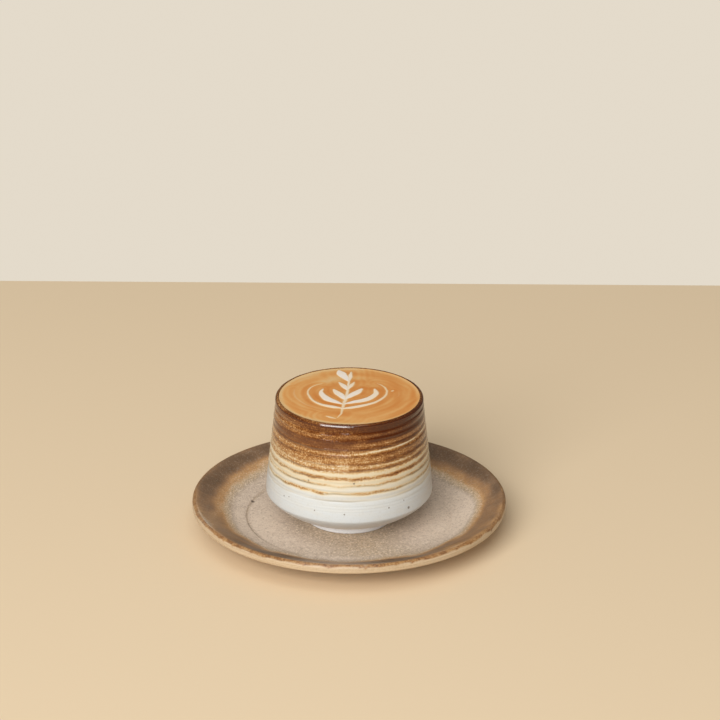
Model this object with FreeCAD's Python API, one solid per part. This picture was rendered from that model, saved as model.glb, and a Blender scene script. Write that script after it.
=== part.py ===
import FreeCAD, Part
import math
import os

# A flat white in a hand-thrown stoneware cup, standing on its saucer. All sizes are in millimetres.
# +Z is up. The origin lies on the table, on the shared axis of the saucer, the cup and the drink.
# Each piece is turned about that axis, so it is drawn as half an outline of radii and heights.

# ---- Saucer: a flat well, a broad rising rim and a low foot ring
SAUCER_R = 72.6              # radius over the outer edge
SAUCER_H = 14.6              # height of the rim's crest above the table
WELL_Z = 4.8                 # height of the flat well that the cup stands on
WELL_R = 47.0                # radius of the flat well
WELL_STEP_H = 0.5            # the turned step that ends the well
WELL_STEP_W = 1.0
RIM_SLOPE = 26.0             # degrees that the rim rises at its crest
RIM_START_SLOPE = 11.0       # degrees that the rim rises at the step
RIM_EDGE_H = 4.2             # height of the outer edge, from its underside to the crest
EDGE_ROUND_TOP = 1.7         # rounding of the outer edge, above and below
EDGE_ROUND_LOW = 1.2
SAUCER_FLOOR_T = 3.2         # thickness under the well
SAUCER_FOOT_R = 44.0         # outside of the foot ring
SAUCER_FOOT_W = 5.0
SAUCER_FOOT_H = 2.0
UNDER_START_SLOPE = 12.0     # degrees that the underside rises where it leaves the foot ring

# ---- Cup: heights are above its own foot, which stands in the saucer's well
CUP_H = 60.4                 # foot to lip
CUP_FOOT_R = 20.7            # outside of the foot ring, at the bottom
CUP_FOOT_FLARE = 0.5         # the foot ring is this much wider where it meets the bowl
CUP_FOOT_H = 3.4
CUP_FOOT_W = 3.8
CUP_RECESS_H = 1.9           # hollow under the cup, inside the foot ring
BOWL_START_SLOPE = 10.0      # degrees that the bowl rises where it leaves the foot ring
BOWL_START_PULL = 0.34       # how far the bowl keeps to that slope, and to upright at the belly
BOWL_END_PULL = 0.11
BELLY_R = 38.4               # the widest place
BELLY_Z = 14.6
WALL_START_PULL = 0.14       # how far the wall keeps upright above the belly
WALL_END_PULL = 0.12
WALL_END_SLOPE = 93.0        # the wall leans in by 3 degrees at the lip
LIP_R = 33.9                 # outside of the wall where the rounded lip begins
LIP_WALL = 2.3               # wall thickness at the lip, which is rounded right over
BELLY_WALL = 4.0
CUP_FLOOR_T = 5.0            # thickness of the floor above the recess
SOFTENED = 0.5               # chamfer of both foot rings' edges

# ---- Throwing rings: shallow grooves left by the potter's fingers, no two quite alike
RING_ABOVE_BELLY = 6.6       # from the belly up to the lowest ring
RING_BELOW_LIP = 3.5         # the wall under the lip that has no ring
RING_PITCH = 3.56            # mean rise from one ring to the next
RING_STRAY = 0.44            # how far a ring strays from that rise
RING_WIDTH = 2.3
RING_DEPTH = 0.28            # mean depth
RING_DEPTH_SWING = 0.10      # how much deeper or shallower single rings are

# ---- Drink: filled to the brim, its foam standing a little proud in the middle
FILL_BELOW_LIP = 0.2         # drop from the lip's top to the edge of the foam
FOAM_DOME = 0.15             # rise of the foam from its edge to its middle

AXIS_FOOT = FreeCAD.Vector(0, 0, 0)
AXIS_UP = FreeCAD.Vector(0, 0, 1)


def point(r, z):
    """A point of a half outline."""
    return FreeCAD.Vector(r, 0, z)


def heading(degrees):
    """A unit step in the outline's plane, at an angle above straight outwards."""
    a = math.radians(degrees)
    return point(math.cos(a), math.sin(a))


def line(a, b):
    return Part.LineSegment(a, b).toShape()


def arc(centre, radius, start, end):
    """An outline arc between two angles in degrees, measured from straight outwards."""
    angles = (start, 0.5 * (start + end), end)
    return Part.Arc(*[centre + heading(a) * radius for a in angles]).toShape()


def bend(start, start_slope, end, end_slope, start_pull=0.38, end_pull=0.38):
    """A smooth outline curve that leaves and arrives at given slopes in degrees."""
    span = start.distanceToPoint(end)
    curve = Part.BezierCurve()
    curve.setPoles([
        start,
        start + heading(start_slope) * (start_pull * span),
        end - heading(end_slope) * (end_pull * span),
        end,
    ])
    return curve.toShape()


def turned(edges):
    """The solid that a closed half outline makes when it is turned about the axis."""
    face = Part.Face(Part.Wire(Part.__sortEdges__(edges)))
    solid = face.revolve(AXIS_FOOT, AXIS_UP, 360)
    return solid if solid.Volume > 0 else solid.reversed()


def foot_ring(outer_top, outer_r, inner_r, bottom_z, inner_top):
    """A foot ring's outline: down its outside, across its softened bottom and up its inside."""
    corners = [
        outer_top,
        point(outer_r, bottom_z + SOFTENED),
        point(outer_r - SOFTENED, bottom_z),
        point(inner_r + SOFTENED, bottom_z),
        point(inner_r, bottom_z + SOFTENED),
        inner_top,
    ]
    return [line(a, b) for a, b in zip(corners, corners[1:])]


def make_saucer():
    """The saucer: well, step, rising rim, rounded edge, underside, foot ring and recess."""
    well_end = point(WELL_R, WELL_Z)
    rim_start = well_end + point(WELL_STEP_W, WELL_STEP_H)
    crest = point(SAUCER_R - EDGE_ROUND_TOP, SAUCER_H - EDGE_ROUND_TOP)
    low = point(SAUCER_R - EDGE_ROUND_LOW, SAUCER_H - RIM_EDGE_H + EDGE_ROUND_LOW)
    rim_end = crest + heading(90 + RIM_SLOPE) * EDGE_ROUND_TOP
    under_end = low + heading(RIM_SLOPE - 90) * EDGE_ROUND_LOW
    under_start = point(SAUCER_FOOT_R, SAUCER_FOOT_H)
    recess_z = WELL_Z - SAUCER_FLOOR_T
    recess_end = point(SAUCER_FOOT_R - SAUCER_FOOT_W, recess_z)
    edges = [
        line(point(0, WELL_Z), well_end),
        bend(well_end, 0, rim_start, RIM_START_SLOPE),
        bend(rim_start, RIM_START_SLOPE, rim_end, RIM_SLOPE),
        arc(crest, EDGE_ROUND_TOP, 90 + RIM_SLOPE, 0),
        line(point(SAUCER_R, crest.z), point(SAUCER_R, low.z)),
        arc(low, EDGE_ROUND_LOW, 0, RIM_SLOPE - 90),
        bend(under_start, UNDER_START_SLOPE, under_end, RIM_SLOPE),
        line(recess_end, point(0, recess_z)),
        line(point(0, recess_z), point(0, WELL_Z)),
    ]
    edges += foot_ring(under_start, SAUCER_FOOT_R, recess_end.x, 0, recess_end)
    return turned(edges)


def cup_z(height):
    """A height above the cup's own foot, as a height above the table."""
    return WELL_Z + height


def outside_wall():
    """The cup's outside from its belly to the start of its lip."""
    belly = point(BELLY_R, cup_z(BELLY_Z))
    lip_start = point(LIP_R, cup_z(CUP_H - LIP_WALL / 2))
    return bend(belly, 90, lip_start, WALL_END_SLOPE, WALL_START_PULL, WALL_END_PULL)


def inside_wall():
    """The cup's inside, as two curves: middle of the floor to belly, and belly to lip."""
    floor = point(0, cup_z(CUP_RECESS_H + CUP_FLOOR_T))
    belly = point(BELLY_R - BELLY_WALL, cup_z(BELLY_Z + BELLY_WALL))
    lip_start = point(LIP_R - LIP_WALL, cup_z(CUP_H - LIP_WALL / 2))
    return [
        bend(floor, 0, belly, 90, 0.6, 0.25),
        bend(belly, 90, lip_start, WALL_END_SLOPE, WALL_START_PULL, WALL_END_PULL),
    ]


def lip_centre():
    return point(LIP_R - LIP_WALL / 2, cup_z(CUP_H - LIP_WALL / 2))


def ringed_wall():
    """The outside wall, as stretches of its curve with one concave arc for each throwing ring."""
    wall = outside_wall().Curve

    def place(height):
        level = Part.Plane(point(0, cup_z(height)), AXIS_UP)
        crossing = wall.intersect(level)[0][0]
        return wall.parameter(point(crossing.X, crossing.Z))

    edges = []
    done = wall.FirstParameter
    lowest = BELLY_Z + RING_ABOVE_BELLY
    count = 1 + int((CUP_H - RING_BELOW_LIP - lowest) / RING_PITCH)
    for i in range(count):
        height = lowest + RING_PITCH * i + RING_STRAY * math.sin(3.0 * i - 0.2)
        depth = RING_DEPTH + RING_DEPTH_SWING * math.sin(1.9 * i + 0.7)
        start = place(height - RING_WIDTH / 2)
        end = place(height + RING_WIDTH / 2)
        middle = wall.value(place(height)) - point(depth, 0)
        edges.append(wall.toShape(done, start))
        edges.append(Part.Arc(wall.value(start), middle, wall.value(end)).toShape())
        done = end
    edges.append(wall.toShape(done, wall.LastParameter))
    return edges


def make_cup():
    """The cup: foot ring, recess, bowl, wall with throwing rings and a rounded lip."""
    foot_top = point(CUP_FOOT_R + CUP_FOOT_FLARE, cup_z(CUP_FOOT_H))
    belly = point(BELLY_R, cup_z(BELLY_Z))
    recess_end = point(CUP_FOOT_R - CUP_FOOT_W, cup_z(CUP_RECESS_H))
    floor_z = cup_z(CUP_RECESS_H + CUP_FLOOR_T)
    edges = [
        bend(foot_top, BOWL_START_SLOPE, belly, 90, BOWL_START_PULL, BOWL_END_PULL),
        arc(lip_centre(), LIP_WALL / 2, 0, 180),
        line(recess_end, point(0, recess_end.z)),
        line(point(0, recess_end.z), point(0, floor_z)),
    ]
    edges += ringed_wall()
    edges += inside_wall()
    edges += foot_ring(foot_top, CUP_FOOT_R, recess_end.x, cup_z(0), recess_end)
    return turned(edges)


def make_drink():
    """The drink: it fills the cup up to the lip's inner side and ends in a low dome of foam."""
    lip = lip_centre()
    rise = LIP_WALL / 2 - FILL_BELOW_LIP
    brim_angle = 180 - math.degrees(math.asin(rise / (LIP_WALL / 2)))
    brim = lip + heading(brim_angle) * (LIP_WALL / 2)
    dome_radius = (brim.x ** 2 + FOAM_DOME ** 2) / (2 * FOAM_DOME)
    middle = point(0, brim.z + FOAM_DOME)
    dome_centre = middle - AXIS_UP * dome_radius
    dome_angle = math.degrees(math.acos(brim.x / dome_radius))
    edges = [
        arc(lip, LIP_WALL / 2, 180, brim_angle),
        arc(dome_centre, dome_radius, dome_angle, 90),
        line(middle, point(0, cup_z(CUP_RECESS_H + CUP_FLOOR_T))),
    ]
    edges += inside_wall()
    return turned(edges)


PIECES = {
    "saucer": make_saucer,
    "cup": make_cup,
    "drink": make_drink,
}

os.makedirs("parts", exist_ok=True)
for name, make in PIECES.items():
    solid = make()
    solid.exportStep("parts/" + name + ".step")
    box = solid.optimalBoundingBox()
    print(name, "valid", solid.isValid(), "solids", len(solid.Solids), "volume", round(solid.Volume / 1000, 1),
          "ml, heights", round(box.ZMin, 2), round(box.ZMax, 2), "radius", round(box.XMax, 2))
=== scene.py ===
import math

import bpy
import numpy as np
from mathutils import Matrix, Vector


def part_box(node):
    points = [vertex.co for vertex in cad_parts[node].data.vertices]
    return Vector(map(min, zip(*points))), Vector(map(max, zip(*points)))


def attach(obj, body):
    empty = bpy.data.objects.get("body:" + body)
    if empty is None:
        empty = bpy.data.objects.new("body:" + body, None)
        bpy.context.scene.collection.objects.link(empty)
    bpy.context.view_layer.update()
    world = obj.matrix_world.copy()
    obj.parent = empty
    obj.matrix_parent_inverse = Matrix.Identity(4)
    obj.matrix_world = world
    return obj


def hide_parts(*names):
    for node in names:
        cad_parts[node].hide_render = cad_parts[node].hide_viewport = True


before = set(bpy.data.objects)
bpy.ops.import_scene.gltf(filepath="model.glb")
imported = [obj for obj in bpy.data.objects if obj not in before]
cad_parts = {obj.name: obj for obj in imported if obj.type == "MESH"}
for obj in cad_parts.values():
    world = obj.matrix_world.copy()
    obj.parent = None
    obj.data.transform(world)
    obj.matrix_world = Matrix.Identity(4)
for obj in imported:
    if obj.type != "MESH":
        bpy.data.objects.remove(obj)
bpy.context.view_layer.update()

# A flat white in a hand-thrown stoneware cup on its saucer.
# Outlines are in millimetres, as radius and height above the table, and meshes are made in metres.
# A bearing is the angle round the axis in degrees: 0 at the front (-Y), 90 at the right (+X).

MM = 0.001
BODY = "root"


def node_box(node):
    """A node's lowest and highest corner in millimetres."""
    low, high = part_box(node)
    return np.array(low) / MM, np.array(high) / MM


SAUCER_TOP = node_box("saucer")[1]
CUP_LOW, CUP_TOP = node_box("cup")
DRINK_TOP = node_box("drink")[1]

# ---- Saucer sizes
SAUCER_R = SAUCER_TOP[0]
SAUCER_H = SAUCER_TOP[2]
WELL_Z = CUP_LOW[2]
WELL_R = 47.0
STEP = np.array([1.0, 0.5])  # the turned step round the well, outwards and up
RIM_SLOPES = 11.0, 26.0  # degrees, at the step and at the crest
EDGE_H = 4.2             # height of the outer edge
EDGE_ROUNDS = 1.7, 1.2   # above and below
SAUCER_FOOT = 44.0, 5.0, 2.0  # outer radius, width, height
FLOOR_T = 3.2
UNDER_SLOPE = 12.0       # degrees, of the underside at the foot ring
SAUCER_COLUMNS = 360     # mesh points round the axis

# ---- Cup sizes, heights above its foot
CUP_H = CUP_TOP[2] - WELL_Z
BELLY_R = CUP_TOP[0]
BELLY_Z = 14.6
CUP_FOOT = 20.7, 3.8, 3.4  # outer radius at the bottom, width, height
FOOT_FLARE = 0.5           # how much wider the foot ring is at its top
BOWL_SLOPE = 10.0          # degrees, at the foot ring
RECESS_H = 1.9
CUP_FLOOR_T = 5.0
WALL_SLOPE = 93.0          # the wall leans in by 3 degrees at the lip
LIP_R = 33.9               # outside, where the rounded lip begins
LIP_WALL = 2.3
BELLY_WALL = 4.0
SOFTENED = 0.5             # chamfer of both foot rings' edges
CUP_COLUMNS = 304          # mesh points round the axis
LIP_TOP = WELL_Z + CUP_H
LIP_MIDDLE_R = LIP_R - LIP_WALL / 2  # the centre of the lip's round, as radius and height
LIP_MIDDLE_Z = WELL_Z + CUP_H - LIP_WALL / 2

# How far a curve keeps to its first and last direction, as shares of the way from end to end
BOWL_PULLS = 0.34, 0.11
WALL_PULLS = 0.14, 0.12
INNER_FLOOR_PULLS = 0.25, 0.6
BEND_LENGTH = 1.1  # a curve's length, as such a share

# ---- Throwing rings
RING_LOWEST = BELLY_Z + 6.6
RING_PITCH = 3.56
RING_STRAY = 0.44
RING_COUNT = 11


def heading(degrees):
    """A unit step in an outline, at an angle above straight outwards."""
    a = math.radians(degrees)
    return np.array([math.cos(a), math.sin(a)])


def steps(length, spacing):
    """Shares from 0 up to but without 1, close enough for a stretch of an outline."""
    return np.linspace(0, 1, max(2, math.ceil(length / spacing)), endpoint=False)[:, None]


def line(a, b, spacing):
    a, b = np.array(a, float), np.array(b, float)
    return a + (b - a) * steps(np.linalg.norm(b - a), spacing)


def arc(centre, radius, start, end, spacing):
    sweep = math.radians(end - start)
    turn = math.radians(start) + sweep * steps(abs(sweep) * radius, spacing)
    return np.array(centre) + radius * np.hstack([np.cos(turn), np.sin(turn)])


def bend(a, slope_a, b, slope_b, spacing, pulls=(0.38, 0.38)):
    """A smooth curve that leaves and arrives at given slopes in degrees."""
    a, b = np.array(a, float), np.array(b, float)
    way = np.linalg.norm(b - a)
    c = a + heading(slope_a) * pulls[0] * way
    d = b - heading(slope_b) * pulls[1] * way
    t = steps(way * BEND_LENGTH, spacing)
    return (1 - t) ** 3 * a + 3 * (1 - t) ** 2 * t * c + 3 * (1 - t) * t ** 2 * d + t ** 3 * b


def foot_ring(outer_top, outer, inner, bottom, inner_top, spacing):
    """Down a foot ring's outside, across its softened bottom and up its inside."""
    corners = [outer_top, (outer, bottom + SOFTENED), (outer - SOFTENED, bottom),
               (inner + SOFTENED, bottom), (inner, bottom + SOFTENED), inner_top]
    return [line(a, b, spacing) for a, b in zip(corners, corners[1:])]


def saucer_outline():
    """From the middle of the recess, round the foot ring, under the rim and back over it to the well."""
    well_end = np.array([WELL_R, WELL_Z])
    rim_start = well_end + STEP
    crest = np.array([SAUCER_R, SAUCER_H]) - EDGE_ROUNDS[0]
    low = np.array([SAUCER_R - EDGE_ROUNDS[1], SAUCER_H - EDGE_H + EDGE_ROUNDS[1]])
    rim_end = crest + EDGE_ROUNDS[0] * heading(90 + RIM_SLOPES[1])
    under_end = low + EDGE_ROUNDS[1] * heading(RIM_SLOPES[1] - 90)
    foot_r, foot_w, foot_h = SAUCER_FOOT
    recess = (foot_r - foot_w, WELL_Z - FLOOR_T)
    downwards = np.vstack([
        line((0, WELL_Z), well_end, spacing=1.2),
        bend(well_end, 0, rim_start, RIM_SLOPES[0], spacing=0.12),
        bend(rim_start, RIM_SLOPES[0], rim_end, RIM_SLOPES[1], spacing=0.35),
        arc(crest, EDGE_ROUNDS[0], 90 + RIM_SLOPES[1], 0, spacing=0.2),
        line((SAUCER_R, crest[1]), (SAUCER_R, low[1]), spacing=0.2),
        arc(low, EDGE_ROUNDS[1], 0, RIM_SLOPES[1] - 90, spacing=0.25),
        bend(under_end, RIM_SLOPES[1] + 180, (foot_r, foot_h), UNDER_SLOPE + 180, spacing=1.2),
        *foot_ring((foot_r, foot_h), foot_r, recess[0], 0, recess, spacing=0.6),
        line(recess, (0, recess[1]), spacing=4),
        [(0, recess[1])],
    ])
    return downwards[::-1]


def inner_wall(spacing):
    """The cup's inside from the lip down, as two curves, and the middle of its floor."""
    lip = (LIP_R - LIP_WALL, LIP_MIDDLE_Z)
    belly = (BELLY_R - BELLY_WALL, WELL_Z + BELLY_Z + BELLY_WALL)
    floor = (0, WELL_Z + RECESS_H + CUP_FLOOR_T)
    return [
        bend(lip, WALL_SLOPE - 180, belly, -90, spacing, WALL_PULLS[::-1]),
        bend(belly, -90, floor, 180, spacing, INNER_FLOOR_PULLS),
    ], floor


def outside_wall(spacing):
    """The cup's outside, from its belly up to where the lip begins."""
    belly = (BELLY_R, WELL_Z + BELLY_Z)
    return bend(belly, 90, (LIP_R, LIP_MIDDLE_Z), WALL_SLOPE, spacing, WALL_PULLS)


def cup_outline():
    """From the middle of the recess, round the foot ring, up the wall, over the lip and down inside."""
    foot_r, foot_w, foot_h = CUP_FOOT
    recess = (foot_r - foot_w, WELL_Z + RECESS_H)
    foot_top = (foot_r + FOOT_FLARE, WELL_Z + foot_h)
    belly = (BELLY_R, WELL_Z + BELLY_Z)
    ring = foot_ring(foot_top, foot_r, recess[0], WELL_Z, recess, spacing=0.35)
    inside, floor = inner_wall(spacing=3.0)
    return np.vstack([
        line((0, recess[1]), recess, spacing=3),
        *[stretch[::-1] for stretch in ring[::-1]],
        bend(foot_top, BOWL_SLOPE, belly, 90, spacing=0.4, pulls=BOWL_PULLS),
        outside_wall(spacing=0.29),
        arc((LIP_MIDDLE_R, LIP_MIDDLE_Z), LIP_WALL / 2, 0, 180, spacing=0.13),
        *inside,
        [floor],
    ])


def turned(outline, columns):
    """Rows and columns of bearing, radius, height and the normal's outward and upward parts."""
    bearing = np.linspace(-180, 180, columns, endpoint=False)[None, :]
    run = np.gradient(outline, axis=0)
    run /= np.linalg.norm(run, axis=1, keepdims=True)
    return np.broadcast_arrays(bearing, outline[:, :1], outline[:, 1:], run[:, 1:], -run[:, :1])


def turned_piece(name, grid, relief, fields):
    """A closed mesh of a turned grid, moved along its normals by relief, with named values.

    The grid's first and last rows lie on the axis, and each becomes one point."""
    bearing, r, z, outward, upward = grid
    rows, columns = r.shape[0] - 2, r.shape[1]
    turn = np.radians(bearing)
    radius = r + relief * outward
    points = np.stack([radius * np.sin(turn), -radius * np.cos(turn), z + relief * upward], axis=-1)
    index = np.arange(rows * columns).reshape(rows, columns)
    after = np.roll(index, -1, axis=1)
    quads = np.stack([index[:-1], after[:-1], after[1:], index[1:]], axis=-1).reshape(-1, 4).tolist()
    below, above = rows * columns, rows * columns + 1
    fans = [[below, b, a] for a, b in zip(index[0].tolist(), after[0].tolist())]
    fans += [[above, a, b] for a, b in zip(index[-1].tolist(), after[-1].tolist())]

    def flat(values):
        ends = np.stack([values[0, 0], values[-1, 0]])
        inner = values[1:-1].reshape(rows * columns, *values.shape[2:])
        return np.concatenate([inner, ends])

    return make_piece(name, flat(points), quads + fans, {k: flat(v) for k, v in fields.items()})


def linked(name, data):
    thing = bpy.data.objects.new(name, data)
    bpy.context.scene.collection.objects.link(thing)
    return thing


def make_piece(name, points, faces, fields):
    """A smooth mesh that rides on the object's body and carries named values at its points."""
    mesh = bpy.data.meshes.new(name)
    mesh.from_pydata((points * MM).tolist(), [], faces)
    mesh.polygons.foreach_set("use_smooth", np.ones(len(mesh.polygons), dtype=bool))
    for key, values in fields.items():
        layer = mesh.attributes.new(key, "FLOAT", "POINT")
        layer.data.foreach_set("value", np.ascontiguousarray(values, dtype=np.float32))
    mesh.update()
    piece = linked(name, mesh)
    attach(piece, BODY)
    return piece


# ---- Fields: functions of bearing, radius and height that shapes and colours share

def smooth(x, start, end):
    """0 before start, 1 after end, and a soft rise between them."""
    t = np.clip((x - start) / (end - start), 0, 1)
    return t * t * (3 - 2 * t)


def hump(x, centre, width):
    """1 at centre, falling off softly on both sides."""
    return np.exp(-((x - centre) / width) ** 2)


def turn_from(bearing, centre):
    """Degrees from centre to bearing, the short way round."""
    return (bearing - centre + 180) % 360 - 180


def span(bearing, start, end, soft):
    """1 between two bearings, fading over soft degrees at each end."""
    half = (end - start) / 2
    away = np.abs(turn_from(bearing, (start + end) / 2))
    return 1 - smooth(away, half - soft / 2, half + soft / 2)


def lobe(bearing, centre, width):
    """1 at one bearing, falling off softly round it."""
    return hump(turn_from(bearing, centre), 0, width)


def lobes(bearing, rows):
    """Lobes added up, each given as its bearing, width and strength."""
    return sum(strength * lobe(bearing, centre, width) for centre, width, strength in rows)


def waves(bearing, height, seed, turns, rise, count=14):
    """Smooth unevenness of about unit size, up to so many waves a turn and radians a millimetre."""
    draw = np.random.default_rng(seed)
    total = 0
    for _ in range(count):
        k = int(draw.integers(0, turns + 1))
        m = draw.uniform(-rise, rise)
        phase = draw.uniform(0, 2 * math.pi)
        total = total + np.cos(k * np.radians(bearing) + m * height + phase)
    return total * math.sqrt(2 / count)


def wander(bearing, seed, turns, count=14):
    """Waves that change only with the bearing."""
    return waves(bearing, 0, seed, turns, 0, count)


# ---- Cup: the throwing rings climb as a spiral, and the glaze pools in them
# A place on the spiral is counted in turns, from 0 at the front of the lowest ring.

RING_HEIGHTS = np.array([RING_LOWEST + RING_PITCH * i + RING_STRAY * math.sin(3.0 * i - 0.2)
                         for i in range(-1, RING_COUNT + 2)])
RING_PLACES = np.arange(-1, RING_COUNT + 2)
GROOVE_WIDTH = 1.0
GROOVE_DEPTH = 0.3
GROOVE_SHARES = [(-0.2, 0.0), (1, 0.8), (10.4, 1.0), (10.9, 0.0)]  # place and share of the depth there
SIDES_AHEAD = 0.1        # turns by which both sides are ahead of an even spiral
MARK_DEPTH = 0.035       # the fingers' fine marks
LEVEL_SWAY = 0.20        # how far rings and glaze bands sway up and down
WALL_FROM = BELLY_Z + 2, BELLY_Z + 6  # heights over which the rings set in
WALL_TO = CUP_H - 3, CUP_H - 1.4  # and fade out below the lip
LIP_FADE = 0.4           # the relief fades this far outside the lip's middle
LIP_STEP = CUP_H - 1.2, CUP_H - 0.75  # the glaze thins over the lip, by LIP_THINNER
LIP_THINNER = 0.11
LIP_GLOSS = CUP_H - 1.6, CUP_H - 1.0  # heights over which the gloss sets in
FOOT_LIGHT_FADE = 6, 14       # heights over which the painted light on the underside and foot, a bluish white, fades out
FOOT_CORNER_SHADE = 0.12         # painted shade, grey in the corner above the foot ring
FOOT_CORNER_SHADE_PLACE = CUP_FOOT[2] + 0.1, 0.3  # height and half width
PLUM_SPAN = -80, 4, 24   # bearings from and to, fade
PLUM_HEIGHT = 50.0, 2.2  # height and half width

# Iron in the glaze, from 0 for white to 1 for chocolate: height above the foot and its strength there. The
# last steps lighten the lip's top as painted light, where the lip is lit.
GLAZE_LADDER = [
    (0, 0), (24, 0.01), (27, 0.05), (29.5, 0.08), (33, 0.13), (36.7, 0.125), (38.8, 0.21), (40.4, 0.29),
    (41.4, 0.36), (42.5, 0.42), (44, 0.48), (46.5, 0.37), (48.5, 0.45), (50.3, 0.5), (52.4, 0.56),
    (54.6, 0.51), (56, 0.60), (57.4, 0.70), (58.6, 0.8), (59.4, 0.8), (60.1, 0.6), (60.4, 0.5),
]
LADDER_SWAY = 0.25

# Pools in each turn of the spiral: height at the front, half width, strength at the left, front, right, back
POOLS = [
    (20.9, 0.5, 0, 0, 0, 0),
    (24.7, 0.5, 0.03, 0.04, 0.07, 0.05),
    (27.9, 0.75, 0.17, 0.12, 0.20, 0.15),
    (31.6, 0.6, 0.16, 0.12, 0.22, 0.16),
    (34.85, 0.75, 0.20, 0.26, 0.54, 0.32),
    (38.8, 0.85, 0.28, 0.33, 0.43, 0.34),
    (41.5, 1.05, 0.06, 0.26, 0.37, 0.20),
    (45.3, 0.75, 0.02, 0.14, 0.34, 0.18),
    (48.5, 0.85, 0.34, 0.26, 0.44, 0.28),
    (52.5, 1.25, 0.10, 0.27, 0.50, 0.30),
    (56.2, 0.9, 0.08, 0.12, 0.30, 0.15),
    (59.6, 0.9, 0, 0.05, 0.20, 0.05),
]
POOL_SHARES = -0.14, 0, 0.13, 0.5  # turns from the front at which the four strengths hold
POOL_SWAY = 0.10
POOL_UNEVEN = 0.2

# Broken runs where a pool holds more: pool, bearings from and to, strength
RUNS = [(2, -50, -18, 0.21), (2, 3, 27, 0.13), (2, 66, 130, 0.10), (4, -35, -14, 0.05), (4, 8, 40, 0.05),
        (3, 60, 120, 0.08), (2, -160, -100, 0.16), (3, 150, 190, 0.10), (4, -120, -80, 0.10)]
RUN_FADE = 16

# Painted groove shade, a grey line under each pool: strength from the lowest turn up, how far below, half
# width
GROOVE_SHADE = [0, 0.42, 0.62, 0.80, 0.62, 0.42, 0.36, 0.34, 0.22, 0.10, 0, 0]
GROOVE_SHADE_BELOW = 0.28
GROOVE_SHADE_HALF = 0.36
GROOVE_SHADE_MEAN = 0.8  # mean share of its strength
GROOVE_SHADE_UNEVEN = 0.3

# Strokes over the ladder: bearings from and to, height at the front, rise over 90 degrees, half width, iron
BANDS = [
    (4, 165, 46.55, 2.2, 0.44, -0.32),
    (-165, -54, 53.4, 1.7, 0.42, -0.24),
    (-84, -8, 55.2, 0.3, 0.9, 0.10),
    (-75, -16, 44.0, 0.0, 0.85, 0.15),
    (-8, 140, 50.3, 1.9, 0.75, -0.08),
    (-60, -28, 42.8, 0.0, 0.4, -0.08),
    (-140, -60, 49.5, 0.6, 0.5, -0.16),
    (-85, 0, 50.6, 0.0, 1.3, 0.20),
    (-40, 4, 41.3, 0.5, 0.4, -0.06),
    (60, 200, 40.5, 1.0, 0.5, -0.06),
    (26, 74, 42.7, 0.8, 0.6, 0.12),
]
BAND_FADE = 14
BAND_SWAY = 0.12
BAND_UNEVEN = 0.25
RIGHT_DARKER = [(55, 45, 0.22)]  # more iron at the upper right, from these heights on
RIGHT_DARKER_FROM = 49, 54
HAIRS = 0.05  # fine level lines where there is iron
HAIRS_FROM = 0.08, 0.3


def turns_from_front(bearing):
    """Share of a turn from the front, where the spiral climbs less at the left than at the right."""
    return bearing / 360 + SIDES_AHEAD * (1 - np.cos(np.radians(bearing)))


def along_spiral(values, place):
    """One value for each turn of the spiral, blended between turns."""
    return np.interp(place, np.arange(len(values)), values)


def pool_strength(place):
    """Strength of the pools at a place on the spiral, from their four strengths in each turn."""
    places = [turn + share for turn in range(len(POOLS)) for share in POOL_SHARES]
    strengths = [strength for _, _, *four in POOLS for strength in four]
    return np.interp(place, places, strengths)


def pooled_glaze(bearing, level, turns):
    """Iron that has pooled along the spiral, and the grey line of painted shade under it."""
    heights, widths, *_ = zip(*POOLS)
    pooled = 0
    painted_shade = 0
    for i in range(-1, len(POOLS) + 1):
        place = i + turns
        away = level - along_spiral(heights, place) + POOL_SWAY * wander(bearing, seed=60 + i, turns=25)
        amount = pool_strength(place)
        for pool, start, end, strength in RUNS:
            if pool == i:
                amount = amount + strength * span(bearing, start, end, RUN_FADE)
        amount = amount * (1 + POOL_UNEVEN * wander(bearing, seed=40 + i, turns=26))
        pooled = pooled + amount * hump(away, 0, along_spiral(widths, place))
        uneven = GROOVE_SHADE_MEAN + GROOVE_SHADE_UNEVEN * wander(bearing, seed=80 + i, turns=9)
        painted_shade = painted_shade + np.clip(along_spiral(GROOVE_SHADE, place) * uneven, 0, 1) * hump(away, -GROOVE_SHADE_BELOW, GROOVE_SHADE_HALF)
    return pooled, np.clip(painted_shade, 0, 1)


def band_iron(bearing, height, level):
    """Iron that the strokes over the ladder add or take away."""
    total = lobes(bearing, RIGHT_DARKER) * smooth(height, *RIGHT_DARKER_FROM)
    for start, end, front, rise, half, change in BANDS:
        middle = front + rise * turn_from(bearing, 0) / 90
        wobble = BAND_SWAY * wander(bearing, seed=int(front * 10), turns=12)
        strength = 1 + BAND_UNEVEN * waves(bearing, height, seed=int(front * 20), turns=30, rise=0.4)
        stroke = change * strength * span(bearing, start, end, BAND_FADE)
        total = total + stroke * hump(level + wobble, middle, half)
    return total


def cup_relief(bearing, height, level, turns, wall):
    """Relief of the grooves, the fingers' fine marks and the thin glaze over the lip."""
    groove = 0
    for i in range(-1, RING_COUNT + 1):
        depth = np.interp(i + turns, *zip(*GROOVE_SHARES))
        ring_height = np.interp(i + turns, RING_PLACES, RING_HEIGHTS)
        groove = groove + depth * hump(level, ring_height, GROOVE_WIDTH)
    marks = (0.5 * waves(bearing, height, seed=21, turns=4, rise=9.0)
             + 0.5 * waves(bearing, height, seed=22, turns=2, rise=5.0))
    nicks = 1 + 0.25 * wander(bearing, seed=91, turns=50, count=20)
    relief = -GROOVE_DEPTH * groove * wall - MARK_DEPTH * (1 + marks) * wall
    return relief - LIP_THINNER * nicks * smooth(height, *LIP_STEP)


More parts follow.
